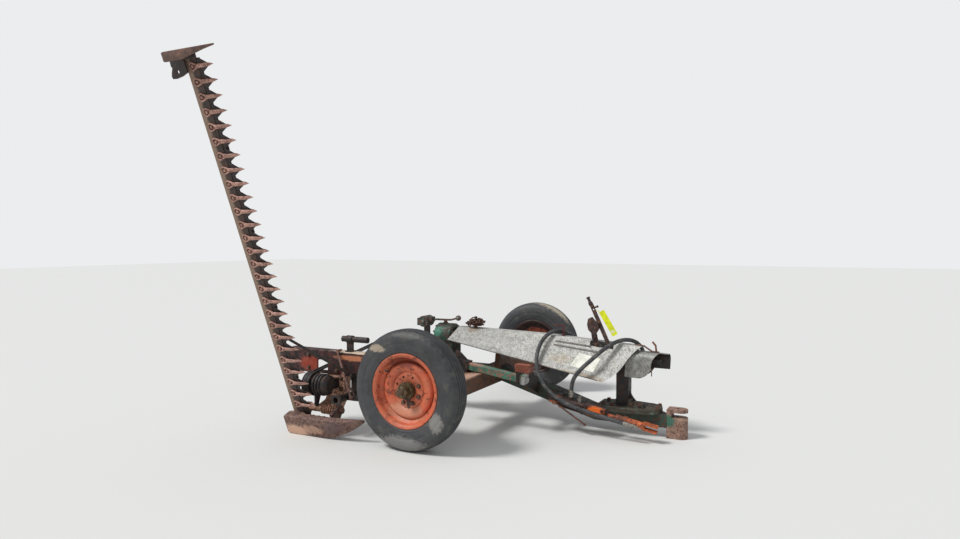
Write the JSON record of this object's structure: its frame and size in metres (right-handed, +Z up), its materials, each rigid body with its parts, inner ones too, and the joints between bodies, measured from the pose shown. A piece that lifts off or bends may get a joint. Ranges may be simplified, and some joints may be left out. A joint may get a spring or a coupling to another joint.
{
  "type": "trail-type sickle bar mower",
  "caption": "Towed sickle bar mower on two pneumatic wheels, its long toothed cutter bar folded upright behind the right wheel and a sheet shield over the driveline.",
  "frame": {"origin": "on the hitch pin's axis, halfway between the two jaws of the hitch clevis; the ground is 140 mm below", "axes": "X forward to the tractor, Y to the left wheel, Z up"},
  "size_m": [2.345, 2.807, 2.1208],
  "materials": {
    "tyre": "matt",
    "rim_red": "faded paint",
    "hub_olive": "greasy",
    "frame_green": "worn paint with rust",
    "dark_iron": "dark rust",
    "red_paint": "worn paint with rust",
    "rusty_steel": "brown rust",
    "blade_steel": "dark rust",
    "galvanized": "weathered zinc",
    "orange_paint": "faded paint",
    "rod_steel": "dull",
    "hose_rubber": "matt",
    "yellow_tag": "bright"
  },
  "bodies": {
    "frame": {"hitch_clevis": "rusty_steel", "tongue": "frame_green", "drawbar_plate": "frame_green", "cross_beam": "frame_green", "rear_spine": "frame_green", "rear_arm": "red_paint", "shield_stand": "dark_iron", "gear_case": "frame_green", "driveline_shield": "galvanized", "front_bell": "galvanized", "breakaway_tube": "frame_green", "bar_hanger": "rusty_steel", "brace_tube": "dark_iron", "drive_head": "dark_iron", "cylinder_barrel": "orange_paint", "cylinder_lugs": "dark_iron", "arm_rest": "dark_iron", "belts": "hose_rubber", "control_levers": "rusty_steel", "yellow_tag": "yellow_tag", "shield_latch": "galvanized", "chain_peg": "rusty_steel", "tilt_screw": "dark_iron", "tube_sleeve": "dark_iron", "link_bracket": "frame_green", "transport_rod": "rusty_steel", "tilt_rods": "rusty_steel", "hose": "hose_rubber", "hose_coupler": "rod_steel", "hose_clip": "rusty_steel"},
    "wheel_right": {"tyre_right": "tyre", "rim_right": "rim_red", "hub_right": "hub_olive"},
    "wheel_left": {"tyre_left": "tyre", "rim_left": "rim_red", "hub_left": "hub_olive"},
    "driveline": {"drive_shaft": "dark_iron"},
    "jack": {"jackshaft": "dark_iron"},
    "knife_drive": {"driven_sheave": "dark_iron"},
    "cutter": {"cutter_bar": "rusty_steel", "guards": "rusty_steel", "inner_shoe": "rusty_steel", "hinge_pin": "dark_iron", "outer_shoe": "rusty_steel"},
    "knife_body": {"knife": "blade_steel"},
    "rod": {"cylinder_rod": "orange_paint"}
  },
  "joints": [
    {"name": "wheel_right_spin", "type": "hinge", "parent": "frame", "child": "wheel_right", "pos_m": [-1.285, -0.92, 0.2], "axis": [0, 1, 0], "continuous": true},
    {"name": "wheel_left_spin", "type": "hinge", "parent": "frame", "child": "wheel_left", "pos_m": [-1.285, 0.92, 0.2], "axis": [0, 1, 0], "continuous": true},
    {"name": "driveline_spin", "type": "hinge", "parent": "frame", "child": "driveline", "pos_m": [-0.105, 0, 0.305], "axis": [0.9987, 0, -0.0513], "continuous": true},
    {"name": "jackshaft_spin", "type": "hinge", "parent": "frame", "child": "jack", "pos_m": [-1.7, 0, 0.26], "axis": [1, 0, 0], "continuous": true},
    {"name": "knife_drive_spin", "type": "hinge", "parent": "frame", "child": "knife_drive", "pos_m": [-2, -0.885, 0.16], "axis": [1, 0, 0], "continuous": true},
    {"name": "bar_fold", "type": "hinge", "parent": "frame", "child": "cutter", "pos_m": [-1.945, -0.862, 0.01], "axis": [1, 0, 0], "range_deg": [0, 68.5]},
    {"name": "knife_stroke", "type": "slide", "parent": "cutter", "child": "knife_body", "axis": [0, -0.3665, 0.9304], "range_m": [-0.0381, 0.0381]},
    {"name": "cylinder_stroke", "type": "slide", "parent": "frame", "child": "rod", "axis": [0.9824, 0, -0.1867], "range_m": [-0.06, 0.14]}
  ],
  "couplings": [
    {"joint": "jackshaft_spin", "follows": "driveline_spin", "ratio": -1},
    {"joint": "knife_drive_spin", "follows": "driveline_spin", "ratio": -1.3889}
  ]
}
